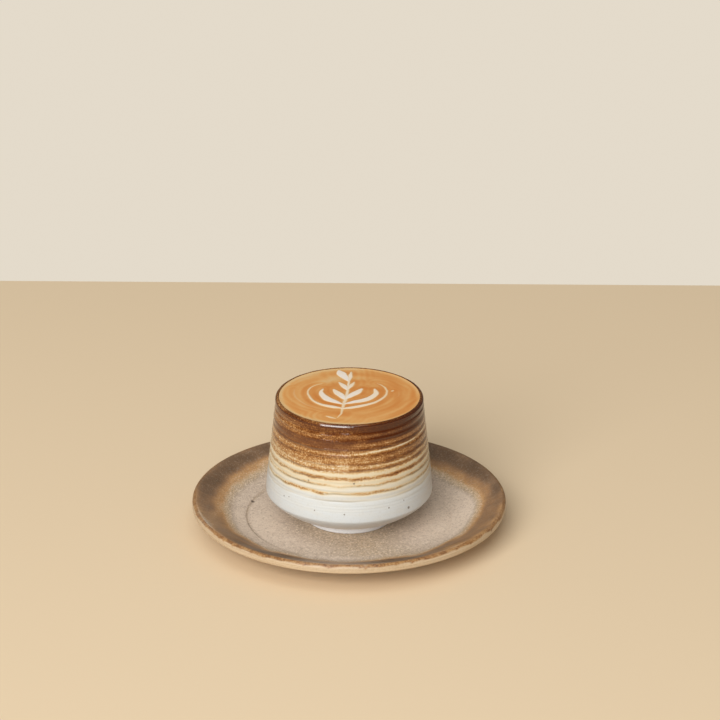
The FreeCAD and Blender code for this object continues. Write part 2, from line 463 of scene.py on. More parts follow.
def cup_fields(grid):
    """Relief of the cup, and the named values from 0 to 1 that its glaze reads."""
    bearing, r, z, outward, _ = grid
    height = z - WELL_Z
    outside = smooth(r, LIP_MIDDLE_R - LIP_FADE, LIP_MIDDLE_R) * (outward > 0)
    outside = np.where(height < BELLY_Z, 1.0, outside)
    wall = smooth(height, *WALL_FROM) * (1 - smooth(height, *WALL_TO))
    level = height + LEVEL_SWAY * waves(bearing, height, seed=11, turns=3, rise=0.10)
    turns = turns_from_front(bearing)
    pooled, painted_shade = pooled_glaze(bearing, level, turns)
    sway = LADDER_SWAY * waves(bearing, height, seed=12, turns=9, rise=0.3)
    iron = np.interp(level + sway, *zip(*GLAZE_LADDER))
    hairs = HAIRS * waves(bearing, level, seed=13, turns=3, rise=5.5, count=20) * smooth(iron, *HAIRS_FROM)
    iron = iron + pooled + band_iron(bearing, height, level) + hairs
    return cup_relief(bearing, height, level, turns, wall) * outside, {
        "iron": np.clip(iron, 0, 1),
        "plum": span(bearing, *PLUM_SPAN) * hump(height, *PLUM_HEIGHT),
        # painted shade: grey under the grooves and in the corner above the foot ring
        "painted_shade": painted_shade * wall + FOOT_CORNER_SHADE * hump(height, *FOOT_CORNER_SHADE_PLACE),
        # painted light: a brighter bluish white on the underside and foot
        "painted_foot_light": 1 - smooth(height, *FOOT_LIGHT_FADE),
        "lip": smooth(height, *LIP_GLOSS),
    }


def make_cup():
    grid = turned(cup_outline(), CUP_COLUMNS)
    relief, fields = cup_fields(grid)
    cup = turned_piece("cup_ware", grid, relief, fields)
    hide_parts("cup")
    cup.data.materials.append(cup_glaze())


# ---- Saucer: a pale well, an orange halo and a dark rim, above an edge of bare clay
# The reach is how far a place lies outside the radius where the dark glaze starts.

DARK_START = 61.4        # radius where the dark rim glaze sets in
DARK_SWAY = 0.6
DARK_LATER = [(100, 32, 4.0), (-125, 22, 1.8)]  # it sets in further out here
TONGUE = -38, 29, 22     # and further in at the front: bearings from and to, fade
TONGUE_LENGTH = 10.5
RIM_IRON = 0.92
RIM_LIGHTER = [(-85, 35, 0.10), (-68, 22, 0.44), (-5, 13, 0.42), (42, 13, 0.42), (70, 20, 0.36),
               (180, 70, 0.06)]
CREST_FADE = 68, 71      # radii over which the glaze thins towards the edge
CREST_THINNER = 0.14
RIM_UNEVEN = 0.05        # which sets in over this reach
RIM_UNEVEN_FROM = -6, 0
RIM_SETS_IN = -1.5, 3.5  # reach over which the rim's iron sets in

WELL_IRON = 0.12       # where it isn't pale
WELL_SIDE_IRON = 0.05  # and what the front and back add
PALE_RING = 20, 38     # radii over which the well turns pale
LESS_PALE_FRONT = [(16, 33, 0.85)]
LESS_PALE_BACK = [(180, 60, 0.5)]
# painted light: the well paler at the right and left of the cup, lightening the shade round it
PAINTED_LIGHT_RIGHT = [(80, 50, 1)]
PAINTED_LIGHT_LEFT = [(-85, 40, 0.8)]
WELL_END = -9, -5      # reach over which the well ends

HALO_IRON = 0.17, 0.21  # the halo's two steps, and the reach over which each sets in
HALO_STEPS = (-9.5, -5), (-5.5, -1.0)
HALO_LESS = [(-8, 34, 0.75)]
HALO_MORE = [(80, 32, 0.55), (-64, 15, 0.5)]

CREASE_IRON = 0.10  # in the corner of the turned step
CREASE_PLACE = WELL_R + 0.4, 0.8  # radius and half width
CREASE_ALL_ROUND = 0.15
CREASE_LEFT = [(-82, 42, 0.85)]

# Dark strokes in the halo: bearings from and to, fade, radius, slant inwards a degree, half width, iron
HALO_STROKES = [(-58, -42, 8, 58.4, 0, 3.0, 0.32), (37, 57, 12, 58.0, 0.06, 3.0, 0.34)]

RIM_SHEEN = [(-5, 16, 0.75), (-66, 20, 0.35)]  # painted sheen, grey where the rim reflects the light
RIM_SHEEN_FADE = -3, 3
MATT = [(-28, 9, 1), (19, 10, 1), (47, 9, 1), (-50, 8, 1)]  # dull places on the rim
MATT_FADE = -3, 2

GLAZE_EDGE_Z = 14.45    # height where the glaze ends on the outer edge
GLAZE_EDGE_SWAY = 0.16
DRIPS = 0.45            # how far drips run down, from waves above DRIP_FROM
DRIP_FROM = 0.8
DRIP_MOST = 1.8
BARE_FADE = 0.55, 1.15  # distance below the glaze's end over which the clay is bare
RUST_FADE = -0.9, 0.1   # and over which the glaze turns to rust
ABOVE_EDGE = -3         # the same distance, away from the edge
UNDERSIDE = -0.2        # upward part of the normal, below which all is bare
TOP_EDGE = 0.5          # the top ends this far inside the outer edge
TOP_RELIEF = 0.05
UNDER_RELIEF = 0.04


def rim_reach(bearing, r):
    """How far a place lies outside the radius where the dark glaze starts."""
    start = (DARK_START + DARK_SWAY * wander(bearing, seed=51, turns=9) + lobes(bearing, DARK_LATER)
             - TONGUE_LENGTH * span(bearing, *TONGUE))
    return r - start


def saucer_iron(bearing, r, reach):
    """Iron in the saucer's glaze, from the pale well over the halo to the rim, with painted light on the well
    beside the cup.
    """
    pale = smooth(r, *PALE_RING)
    pale = pale * (1 - lobes(bearing, LESS_PALE_FRONT)) * (1 - lobes(bearing, LESS_PALE_BACK))
    # painted light at the sides of the well
    painted_light_side = np.maximum(lobes(bearing, PAINTED_LIGHT_RIGHT), lobes(bearing, PAINTED_LIGHT_LEFT))
    well = (WELL_IRON * (1 - pale) + WELL_SIDE_IRON * (1 - painted_light_side)) * (1 - smooth(reach, *WELL_END))
    halo = (1 - lobes(bearing, HALO_LESS)) * (1 + lobes(bearing, HALO_MORE))
    rim = RIM_IRON - lobes(bearing, RIM_LIGHTER)
    iron = well + (rim - sum(HALO_IRON) * halo) * smooth(reach, *RIM_SETS_IN)
    for amount, step in zip(HALO_IRON, HALO_STEPS):
        iron = iron + amount * halo * smooth(reach, *step)
    uneven = waves(bearing, r, seed=52, turns=30, rise=0.9) * smooth(reach, *RIM_UNEVEN_FROM)
    iron = iron + RIM_UNEVEN * uneven - CREST_THINNER * smooth(r, *CREST_FADE)
    crease = hump(r, *CREASE_PLACE) * (CREASE_ALL_ROUND + lobes(bearing, CREASE_LEFT))
    iron = iron + CREASE_IRON * crease
    for start, end, fade, radius, slant, half, amount in HALO_STROKES:
        middle = radius - slant * turn_from(bearing, (start + end) / 2)
        iron = iron + amount * span(bearing, start, end, fade) * hump(r, middle, half)
    return np.clip(iron, 0, 1)


def saucer_fields(grid):
    """Relief of the saucer, and the named values from 0 to 1 that its glaze reads."""
    bearing, r, z, _, upward = grid
    reach = rim_reach(bearing, r)
    drips = np.clip(wander(bearing, seed=55, turns=170, count=40) - DRIP_FROM, 0, DRIP_MOST)
    glaze_end = GLAZE_EDGE_Z + GLAZE_EDGE_SWAY * wander(bearing, seed=54, turns=60, count=24) - DRIPS * drips
    on_edge = r > SAUCER_R - EDGE_ROUNDS[0]
    below_glaze = np.where(on_edge, glaze_end - z, ABOVE_EDGE)
    bare = np.where(upward < UNDERSIDE, 1.0, smooth(below_glaze, *BARE_FADE))
    top = (upward > 0) * (r < SAUCER_R - TOP_EDGE)
    wave = 0.5 * waves(bearing, r, seed=56, turns=5, rise=0.3) - 1
    return TOP_RELIEF * wave * top - UNDER_RELIEF * (upward < 0), {
        "iron": saucer_iron(bearing, r, reach),
        # painted sheen on the rim
        "rim_sheen": lobes(bearing, RIM_SHEEN) * smooth(reach, *RIM_SHEEN_FADE),
        "bare": bare,
        "rust": smooth(below_glaze, *RUST_FADE) * on_edge * (1 - bare),
        "matt": np.clip(lobes(bearing, MATT), 0, 1) * smooth(reach, *MATT_FADE),
    }


def make_saucer():
    grid = turned(saucer_outline(), SAUCER_COLUMNS)
    relief, fields = saucer_fields(grid)
    saucer = turned_piece("saucer_ware", grid, relief, fields)
    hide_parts("saucer")
    saucer.data.materials.append(saucer_glaze())


# ---- Drink: a foam surface with a poured leaf

FOAM_DOME = 0.15       # rise of the foam from its edge to its middle
BRIM_Z = DRINK_TOP[2] - FOAM_DOME
BRIM_R = LIP_MIDDLE_R - 0.648  # where the foam's edge meets the rounded lip
FOAM_CELLS = 270       # mesh cells across the foam
FOAM_INTO_LIP = 0.12   # how far it reaches into the lip and the wall, so that no gap shows
DRINK_INTO_WALL = 0.1
FOAM_SUNK = 0.08       # room for the relief under the lip's top
FOAM_BELOW_LIP = 0.03  # and what is left of it at least

EDGE_BLUR = 0.34          # softness of the milk's edges
EDGE_SWAY = 0.05          # their unevenness, in waves of a few times EDGE_TURN radians a millimetre
EDGE_TURN = 0.4
FRINGE_FADE = -0.3, 0.75  # distance from the milk over which its fringe fades
MILK_RELIEF = 0.09        # the milk stands proud, beside a faint furrow
MILK_RISE = 0.15, 0.8
FURROW = 0.03
FURROW_PLACE = 0.9, 0.7   # distance from the milk and half width
SWIRL_RELIEF = 0.015
BRIM_RELIEF = 0.12        # the foam climbs the lip, within about BRIM_CLIMB of it
BRIM_CLIMB = 0.45
FAR = 99.0                # beyond the foam

# How deep the crema's colour is, from 0 for pale to 1 for deep
CREMA_MEAN = 0.52
CREMA_SWIRL = 0.15
CREMA_BESIDE_MILK = 0.26  # deeper beside the milk, less so at the leaf's tip
BESIDE_MILK = 1.5, 1.5    # distance from the milk and half width
TIP_SHARE = 0.85
TIP_FADE = 7, 17          # distance behind the middle
CREMA_RIPPLE = 0.05       # ripples round the milk: radians a millimetre and reach
RIPPLE_TURN = 2.6
RIPPLE_REACH = 7
BRIM_PALER = 0.40         # paler in a ring inside the brim
BRIM_PALE_RING = BRIM_R - 2.6, BRIM_R - 0.4
PATCH_PALER = 0.28        # and in a patch: place and half width in X and in Y
PATCH_X = -10, 10
PATCH_Y = 20, 8

# Front, right and left of the foam, paler at the front, and deeper at the right and paler at the left as
# painted shade and light: direction, distances over which it sets in, change
CREMA_SIDES_PAINTED_LIGHT = [(0, -1, 15, 27, -0.12), (1, 0, 8, 24, 0.10), (-1, 0, 8, 24, -0.08)]

LEAF_SHIFT = 1.25  # the strokes move back by this, from the stem's foot on
LEAF_SHIFT_OVER = -24, -15

# Strokes of milk: whiteness at the root and at the tip, and points across (+X), away (+Y) and width
STROKES = [
    # stem
    (0.55, 0.75, [(-5.3, -24.4, 0.5), (-3.6, -20.6, 0.9), (-3.0, -15.5, 1.2), (-2.4, -10.2, 1.5),
                  (-1.6, -5.0, 1.5), (-1.0, 2.0, 1.3), (-0.6, 9.0, 1.1), (-0.2, 15.6, 0.9)]),
    # tail
    (0.6, 0.5, [(-10.2, -23.0, 0.7), (-8.3, -24.2, 1.5), (-6.0, -25.6, 0.6)]),
    # outer loops
    (0.82, 0.45, [(-2.6, -15.8, 1.1), (1.8, -14.4, 2.3), (7.4, -11.8, 2.0), (12.1, -8.2, 1.5),
                  (15.7, -2.8, 1.1), (17.1, 2.7, 1.0), (16.5, 7.4, 1.0), (14.6, 11.2, 0.8),
                  (12.6, 13.0, 0.4)]),
    (0.82, 0.45, [(-3.3, -15.4, 0.9), (-7.7, -13.9, 2.4), (-12.6, -11.4, 1.7), (-16.2, -7.4, 1.2),
                  (-18.2, -2.6, 1.0), (-19.0, 1.9, 0.9), (-18.4, 6.6, 0.9), (-16.0, 10.5, 0.7),
                  (-12.9, 12.7, 0.4)]),
    # fourth pair
    (1.0, 0.85, [(-3.0, -10.9, 0.7), (-6.1, -8.5, 2.7), (-9.9, -5.2, 3.7), (-12.3, -0.6, 2.9),
                 (-13.0, 3.0, 1.7), (-12.2, 6.3, 0.6)]),
    (1.0, 0.75, [(-1.9, -10.6, 0.9), (2.4, -8.3, 2.7), (7.3, -5.9, 3.3), (10.7, -2.0, 2.8),
                 (12.2, 2.0, 2.4), (11.5, 6.3, 0.9)]),
    # third pair
    (1.0, 0.8, [(-2.2, -5.4, 1.0), (-3.7, -1.3, 3.3), (-5.7, 2.2, 3.0), (-7.3, 5.9, 0.8)]),
    (1.0, 0.85, [(-1.5, -4.9, 0.9), (1.0, -0.8, 3.2), (3.7, 2.9, 3.3), (5.6, 6.4, 1.2)]),
    # second pair
    (1.0, 0.75, [(-1.2, 5.4, 0.7), (-2.7, 10.0, 2.7), (-4.9, 14.2, 0.6)]),
    (0.95, 0.6, [(-0.7, 5.8, 0.6), (0.8, 10.4, 1.9), (2.3, 14.6, 0.5)]),
    # top pair
    (1.0, 0.9, [(-0.5, 15.3, 0.6), (-2.2, 20.0, 3.2), (-3.9, 24.3, 4.3), (-4.9, 27.8, 1.5)]),
    (0.95, 0.7, [(0.0, 16.0, 0.5), (0.3, 21.2, 1.9), (0.7, 26.6, 0.6)]),
    # faint folds outside the loops, and a drop
    (0.2, 0.25, [(-12.9, -16.9, 0.5), (-19.4, -11.6, 1.1), (-23.6, -5.2, 1.1), (-25.3, 0.3, 1.0),
                 (-25.2, 5.8, 0.5)]),
    (0.1, 0.2, [(20.3, -5.0, 0.6), (22.4, -1.0, 1.0), (22.6, 3.6, 0.5)]),
    (0.5, 0.5, [(19.4, 4.4, 1.3), (19.9, 5.0, 1.0)]),
]
STROKE_STEPS = 22  # places between two points of a stroke
LEAST_WIDTH = 0.1
FAINT_AWAY = 6     # how much further off a faint stroke counts
FAINT_SCALE = 1.6


def through(points):
    """A smooth run of points through given ones (Catmull-Rom)."""
    p = np.array(points, float)
    p = np.vstack([2 * p[0] - p[1], p, 2 * p[-1] - p[-2]])
    t = np.linspace(0, 1, STROKE_STEPS, endpoint=False)[:, None]
    runs = []
    for a, b, c, d in zip(p, p[1:], p[2:], p[3:]):
        runs.append(0.5 * (2 * b + (c - a) * t + (2 * a - 5 * b + 4 * c - d) * t ** 2
                           + (3 * b - a - 3 * c + d) * t ** 3))
    return np.vstack(runs + [p[-2:-1]])


def poured_leaf(x, y):
    """Milk from 0 to 1 and the distance to the nearest stroke, at places on the foam."""
    sx = x + EDGE_SWAY * waves(np.degrees(y * EDGE_TURN), x, seed=71, turns=4, rise=1.2)
    sy = y + EDGE_SWAY * waves(np.degrees(x * EDGE_TURN), y, seed=72, turns=4, rise=1.2)
    milk = np.zeros_like(x)
    near = np.full_like(x, FAR)
    for root, tip, points in STROKES:
        run = through(points)
        run[:, 1] += LEAF_SHIFT * smooth(run[:, 1], *LEAF_SHIFT_OVER)
        best = np.full_like(x, FAR)
        white = np.zeros_like(x)
        for (cx, cy, width), share in zip(run, np.linspace(0, 1, len(run))):
            away = np.hypot(sx - cx, sy - cy) - max(width, LEAST_WIDTH) / 2
            closer = away < best
            best = np.where(closer, away, best)
            white = np.where(closer, root + (tip - root) * share, white)
        milk = np.maximum(milk, white * (1 - smooth(best, -EDGE_BLUR, EDGE_BLUR)))
        near = np.minimum(near, best + FAINT_AWAY * (1 - np.clip(white * FAINT_SCALE, 0, 1)))
    return milk, near


def foam_fields(x, y):
    """Milk, its pale fringe, the crema's depth of colour and the relief, at places on the foam."""
    r = np.hypot(x, y)
    bearing = np.degrees(np.arctan2(x, -y))
    milk, near = poured_leaf(x, y)
    fringe = 1 - smooth(near, *FRINGE_FADE)
    swirl = (0.6 * waves(bearing, r, seed=73, turns=7, rise=0.9)
             + 0.4 * waves(bearing, near, seed=74, turns=3, rise=2.4))
    beside_milk = hump(near, *BESIDE_MILK) * (1 - TIP_SHARE * smooth(y, *TIP_FADE))
    ripple = np.cos(near * RIPPLE_TURN) * np.exp(-near / RIPPLE_REACH)
    depth = CREMA_MEAN + CREMA_SWIRL * swirl + CREMA_BESIDE_MILK * beside_milk + CREMA_RIPPLE * ripple
    depth = depth - BRIM_PALER * smooth(r, *BRIM_PALE_RING)
    depth = depth - PATCH_PALER * hump(x, *PATCH_X) * hump(y, *PATCH_Y)
    # painted shade at the right and painted light at the left, and a paler front
    for across, away, start, end, change in CREMA_SIDES_PAINTED_LIGHT:
        depth = depth + change * smooth(across * x + away * y, start, end)
    relief = MILK_RELIEF * smooth(milk, *MILK_RISE) - FURROW * hump(near, *FURROW_PLACE)
    climb = np.exp(-(BRIM_R - np.minimum(r, BRIM_R)) / BRIM_CLIMB)
    relief = relief + SWIRL_RELIEF * swirl + BRIM_RELIEF * climb
    return {"milk": milk, "fringe": fringe, "depth": np.clip(depth, 0, 1)}, relief


def foam_grid():
    """A square grid bent into a disc, with even cells and the brim as its border."""
    side = np.linspace(-1, 1, FOAM_CELLS + 1)
    u, v = np.meshgrid(side, side)
    radius = BRIM_R + FOAM_INTO_LIP
    return radius * u * np.sqrt(1 - v * v / 2), radius * v * np.sqrt(1 - u * u / 2)


def foam_surface():
    """The foam's points, faces and fields, and the points of its border in order."""
    x, y = foam_grid()
    fields, relief = foam_fields(x, y)
    dome = FOAM_DOME * (1 - (np.hypot(x, y) / BRIM_R) ** 2)
    z = np.minimum(BRIM_Z + dome + relief - FOAM_SUNK, LIP_TOP - FOAM_BELOW_LIP)
    points = np.stack([x, y, z], axis=-1).reshape(-1, 3)
    index = np.arange(x.size).reshape(x.shape)
    quads = np.stack([index[:-1, :-1], index[:-1, 1:], index[1:, 1:], index[1:, :-1]], axis=-1).reshape(-1, 4)
    border = np.concatenate([index[0, :-1], index[:-1, -1], index[-1, :0:-1], index[:0:-1, 0]])
    return points, quads.tolist(), {key: field.reshape(-1) for key, field in fields.items()}, border


def make_drink():
    """The foam, and below it rings of points down the cup's inner wall to one point on the floor."""
    foam_points, faces, fields, border = foam_surface()
    turn = np.arctan2(foam_points[border, 1], foam_points[border, 0])
    inside, floor = inner_wall(spacing=5.0)
    layers = [foam_points]
    rings = [border]
    done = len(foam_points)
    for r, height in np.vstack(inside)[1:]:
        r = r + DRINK_INTO_WALL
        layers.append(np.stack([r * np.cos(turn), r * np.sin(turn), np.full(len(turn), height)], axis=-1))
        rings.append(done + np.arange(len(border)))
        done += len(border)
    layers.append(np.array([[0.0, 0.0, floor[1]]]))
    for upper, lower in zip(rings, rings[1:]):
        faces += np.stack([upper, lower, np.roll(lower, -1), np.roll(upper, -1)], axis=-1).tolist()
    faces += [[done, b, a] for a, b in zip(rings[-1].tolist(), np.roll(rings[-1], -1).tolist())]
    points = np.vstack(layers)
    extra = len(points) - len(foam_points)
    hidden = {"milk": 0.0, "fringe": 0.0, "depth": 0.5}
    fields = {key: np.concatenate([field, np.full(extra, hidden[key])]) for key, field in fields.items()}
    drink = make_piece("coffee", points, faces, fields)
    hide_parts("drink")
    drink.data.materials.append(foam())


# ---- Materials

SPOT_SOFTNESS = 0.35  # share of its radius over which a spot fades, both ways


class Nodes:
    """A material's node tree, with short calls that add a node and give its first output."""

    def __init__(self, name):
        self.material = bpy.data.materials.new(name)
        self.material.use_nodes = True
        self.tree = self.material.node_tree
        self.shader = self.tree.nodes["Principled BSDF"]
        place = self.tree.nodes.new("ShaderNodeTexCoord")
        self.place = place.outputs["Object"]

    def add(self, kind, inputs=(), **settings):
        node = self.tree.nodes.new(kind)
        for key, value in settings.items():
            setattr(node, key, value)
        for key, value in dict(inputs).items():
            self.plug(value, node.inputs[key])
        return node

    def plug(self, value, socket):
        if isinstance(value, bpy.types.NodeSocket):
            self.tree.links.new(value, socket)
        else:
            socket.default_value = value

    def field(self, name):
        """A named value that the mesh carries at its points."""
        return self.add("ShaderNodeAttribute", attribute_name=name).outputs["Fac"]

    def math(self, operation, *values):
        return self.add("ShaderNodeMath", enumerate(values), operation=operation).outputs[0]

    def chain(self, operation, values):
        total = values[0]
        for value in values[1:]:
            total = self.math(operation, total, value)
        return total

    def plus(self, *values):
        return self.chain("ADD", values)

    def times(self, *values):
        return self.chain("MULTIPLY", values)

    def vector(self, operation, a, b=(0, 0, 0), output=0):
        return self.add("ShaderNodeVectorMath", {0: a, 1: b}, operation=operation).outputs[output]

    def scaled(self, across, up):
        """Object coordinates with waves of the given sizes, in millimetres."""
        return self.vector("MULTIPLY", self.place, (1 / (across * MM), 1 / (across * MM), 1 / (up * MM)))

    def noise_at(self, place, detail, rough, warp=0.0):
        """Noise from about -0.5 to 0.5, with grains about one unit of place in size."""
        inputs = {"Vector": place, "Scale": 1.0, "Detail": detail, "Roughness": rough, "Distortion": warp}
        return self.math("SUBTRACT", self.add("ShaderNodeTexNoise", inputs).outputs["Fac"], 0.5)

    def noise(self, across, up, detail, rough, warp=0.0):
        """Noise with grains of the given sizes in millimetres."""
        return self.noise_at(self.scaled(across, up), detail, rough, warp)

    def rays(self, across, along):
        """Noise drawn out along the radius, with rays so wide at the rim and so long, in millimetres."""
        flat = self.vector("MULTIPLY", self.place, (1, 1, 0))
        way = self.vector("NORMALIZE", flat)
        far = self.vector("LENGTH", flat, output="Value")
        outwards = self.add("ShaderNodeCombineXYZ", {"Z": self.times(far, 1 / (along * MM))}).outputs[0]
        round_axis = self.vector("MULTIPLY", way, (SAUCER_R / across,) * 3)
        return self.noise_at(self.vector("ADD", round_axis, outwards), detail=3, rough=0.6)

    def spot(self, centre, radius):
        """1 within a ball round a centre, both in millimetres."""
        away = self.vector("DISTANCE", self.place, tuple(value * MM for value in centre), "Value")
        inner, outer = radius * MM * (1 - SPOT_SOFTNESS), radius * MM * (1 + SPOT_SOFTNESS)
        return self.range(away, inner, outer, 1.0, 0.0)

    def range(self, value, start, end, low=0.0, high=1.0):
        """Low before start, high after end, and a soft change between them."""
        inputs = {"Value": value, "From Min": start, "From Max": end, "To Min": low, "To Max": high}
        return self.add("ShaderNodeMapRange", inputs, interpolation_type="SMOOTHSTEP").outputs[0]

    def ramp(self, value, stops):
        node = self.add("ShaderNodeValToRGB", {"Fac": value})
        elements = node.color_ramp.elements
        while len(elements) < len(stops):
            elements.new(0.5)
        for element, (position, colour) in zip(elements, stops):
            element.position = position
            element.color = *colour, 1
        return node.outputs["Color"]

    def mix(self, share, a, b):
        node = self.add("ShaderNodeMix", data_type="RGBA")
        for key, value in ((0, share), (6, a), (7, b)):
            if isinstance(value, tuple) and len(value) == 3:
                value = *value, 1
            self.plug(value, node.inputs[key])
        return node.outputs[2]

    def bump(self, height, distance, strength):
        inputs = {"Height": height, "Distance": distance * MM, "Strength": strength}
        return self.add("ShaderNodeBump", inputs).outputs[0]

    def finish(self, **inputs):
        """The material. Inputs keep the shader's names, with _ for a space."""
        for key, value in inputs.items():
            self.plug(value, self.shader.inputs[key.replace("_", " ")])
        return self.material


# Iron in the cup's glaze and its colour
CUP_COLOURS = [
    (0.00, (0.648, 0.680, 0.690)),
    (0.14, (0.700, 0.610, 0.435)),
    (0.26, (0.600, 0.405, 0.195)),
    (0.42, (0.400, 0.186, 0.053)),
    (0.60, (0.215, 0.080, 0.019)),
    (0.80, (0.110, 0.028, 0.003)),
    (1.00, (0.066, 0.014, 0.002)),
]
PLUM_COLOUR = (0.148, 0.052, 0.018)
# colour of the painted light on the underside and foot
FOOT_LIGHT_COLOUR = (0.85, 0.875, 0.91)
# colour of the painted shade under the grooves and above the foot ring
PAINTED_SHADE_COLOUR = (0.21, 0.165, 0.105)
MILKY_COLOUR = (0.52, 0.50, 0.45)
SPECK_COLOUR = (0.10, 0.06, 0.035)

# Iron specks in the white glaze: bearing, height above the foot, radius
SPECKS = [(45, 16.8, 0.62), (28.4, 19.7, 0.38), (-3, 18.4, 0.36), (-24, 18.9, 0.30), (-46, 21.6, 0.3),
          (-51, 20.9, 0.34), (41, 21.2, 0.3), (3.6, 33.0, 0.5), (-30, 32.4, 0.45), (150, 24, 0.5),
          (-120, 17.5, 0.5), (-160, 21.5, 0.35), (100, 19.0, 0.4), (-95, 23.0, 0.3), (175, 14.0, 0.4)]


def wall_radius(height):
    """Radius of the cup's plain outside at a height above its foot."""
    wall = outside_wall(spacing=0.5)
    return float(np.interp(height, wall[:, 1] - WELL_Z, wall[:, 0]))


def speck_mask(nodes):
    spots = []
    for bearing, height, radius in SPECKS:
        a = math.radians(bearing)
        r = wall_radius(height)
        spots.append(nodes.spot((r * math.sin(a), -r * math.cos(a), height + WELL_Z), radius))
    return nodes.chain("MAXIMUM", spots)


def cup_glaze():
    """White at the foot, honey and chocolate above, speckled where the glaze is brown."""
    nodes = Nodes("cup_glaze")
    iron = nodes.field("iron")
    streaks = nodes.noise(1.7, 0.45, detail=4, rough=0.6)
    grains = nodes.noise(0.55, 0.5, detail=2, rough=0.6)
    drift = nodes.noise(9, 2.2, detail=3, rough=0.5)
    mottle = nodes.noise(1.4, 1.4, detail=4, rough=0.65)
    brown = nodes.times(nodes.range(iron, 0.10, 0.34), nodes.range(iron, 0.6, 1.0, 1.0, 0.75))
    speckle = nodes.times(nodes.plus(nodes.times(streaks, 0.6), nodes.times(grains, 1.1)), brown)
    tone = nodes.plus(iron, speckle, nodes.times(drift, 0.07))
    milky = nodes.times(nodes.range(nodes.math("ABSOLUTE", mottle), 0.02, 0.2, 0.0, 0.22),
                        nodes.range(iron, 0.04, 0.25, 1.0, 0.0))
    colour = nodes.ramp(tone, CUP_COLOURS)
    colour = nodes.mix(nodes.times(nodes.field("plum"), 0.6), colour, PLUM_COLOUR)
    # painted light on the underside and foot
    colour = nodes.mix(nodes.field("painted_foot_light"), colour, FOOT_LIGHT_COLOUR)
    # painted shade under the grooves and above the foot ring
    colour = nodes.mix(nodes.field("painted_shade"), colour, PAINTED_SHADE_COLOUR)
    colour = nodes.mix(milky, colour, MILKY_COLOUR)
    colour = nodes.mix(nodes.times(speck_mask(nodes), 0.75), colour, SPECK_COLOUR)
    rough = nodes.plus(nodes.range(tone, 0.0, 0.6, 0.34, 0.11), nodes.times(grains, 0.08))
    surface = nodes.plus(nodes.times(grains, 0.6), streaks, nodes.times(mottle, 0.4))
    gloss = nodes.range(nodes.field("lip"), 0, 1, 0.5, 1.0)
    return nodes.finish(Base_Color=colour, Roughness=rough, Specular_IOR_Level=gloss,
                        Normal=nodes.bump(surface, distance=0.05, strength=0.5))


# Iron in the saucer's glaze and its colour
SAUCER_COLOURS = [
    (0.00, (0.740, 0.605, 0.480)),
    (0.05, (0.620, 0.500, 0.400)),
    (0.12, (0.505, 0.395, 0.290)),
    (0.20, (0.570, 0.415, 0.258)),
    (0.34, (0.530, 0.295, 0.122)),
    (0.52, (0.350, 0.192, 0.090)),
    (0.72, (0.220, 0.130, 0.070)),
    (1.00, (0.130, 0.076, 0.041)),
]
RUST_COLOURS = [(0.3, (0.19, 0.090, 0.038)), (0.5, (0.34, 0.172, 0.066)), (0.72, (0.46, 0.28, 0.125))]
CLAY_COLOURS = [(0.2, (0.42, 0.30, 0.18)), (0.55, (0.56, 0.43, 0.285)), (0.9, (0.62, 0.50, 0.35))]
# colour of the painted sheen on the rim
RIM_SHEEN_COLOUR = (0.43, 0.335, 0.26)
LIGHT_GRAIN_COLOUR = (0.80, 0.68, 0.55)
DARK_GRAIN_COLOUR = (0.20, 0.14, 0.095)
WELL_SPECK_COLOUR = (0.07, 0.05, 0.04)
WELL_SPECK = (-45.2, 13.5, 4.9)  # the one dark speck in the well
WELL_SPECK_R = 0.85


def saucer_glaze():
    """Grainy glaze from a pale well to a dark rim with rays, and rust and bare clay at the edge."""
    nodes = Nodes("saucer_glaze")
    iron = nodes.field("iron")
    grains = nodes.noise(0.85, 0.85, detail=2, rough=0.7)
    blots = nodes.noise(2.6, 2.6, detail=3, rough=0.6)
    lines = nodes.noise(30, 0.32, detail=2, rough=0.5)
    rays = nodes.times(nodes.rays(0.9, 7.0), nodes.range(iron, 0.25, 0.6), 0.4)
    tone = nodes.plus(iron, nodes.times(grains, 0.22), nodes.times(blots, 0.12), rays)
    light = nodes.times(nodes.range(grains, 0.02, 0.15), nodes.range(iron, 0.1, 0.5, 0.8, 0.14))
    dark = nodes.times(nodes.range(grains, -0.03, -0.17), 0.5)
    rust = nodes.ramp(nodes.plus(0.5, grains, nodes.times(blots, 0.9)), RUST_COLOURS)
    clay = nodes.ramp(nodes.plus(0.5, nodes.times(lines, 0.9), nodes.times(grains, 0.5)), CLAY_COLOURS)
    colour = nodes.ramp(tone, SAUCER_COLOURS)
    # painted sheen: grey where the rim reflects the light
    colour = nodes.mix(nodes.times(nodes.field("rim_sheen"), 0.8), colour, RIM_SHEEN_COLOUR)
    colour = nodes.mix(light, colour, LIGHT_GRAIN_COLOUR)
    colour = nodes.mix(dark, colour, DARK_GRAIN_COLOUR)
    colour = nodes.mix(nodes.times(nodes.field("rust"), 0.9), colour, rust)
    colour = nodes.mix(nodes.field("bare"), colour, clay)
    colour = nodes.mix(nodes.times(nodes.spot(WELL_SPECK, WELL_SPECK_R), 0.85), colour, WELL_SPECK_COLOUR)
    rough = nodes.plus(nodes.range(iron, 0.0, 0.8, 0.55, 0.40), nodes.times(grains, 0.25))
    surface = nodes.plus(grains, nodes.times(blots, 1.2))
    sheen = nodes.range(nodes.field("matt"), 0, 1, 0.5, 0.05)
    return nodes.finish(Base_Color=colour, Roughness=rough, Specular_IOR_Level=sheen,
                        Normal=nodes.bump(surface, distance=0.12, strength=0.9))


# Depth of the crema and its colour
CREMA_COLOURS = [
    (0.0, (0.800, 0.530, 0.245)),
    (0.35, (0.800, 0.420, 0.140)),
    (0.6, (0.745, 0.330, 0.090)),
    (1.0, (0.680, 0.240, 0.047)),
]
FRINGE_COLOUR = (0.74, 0.50, 0.26)

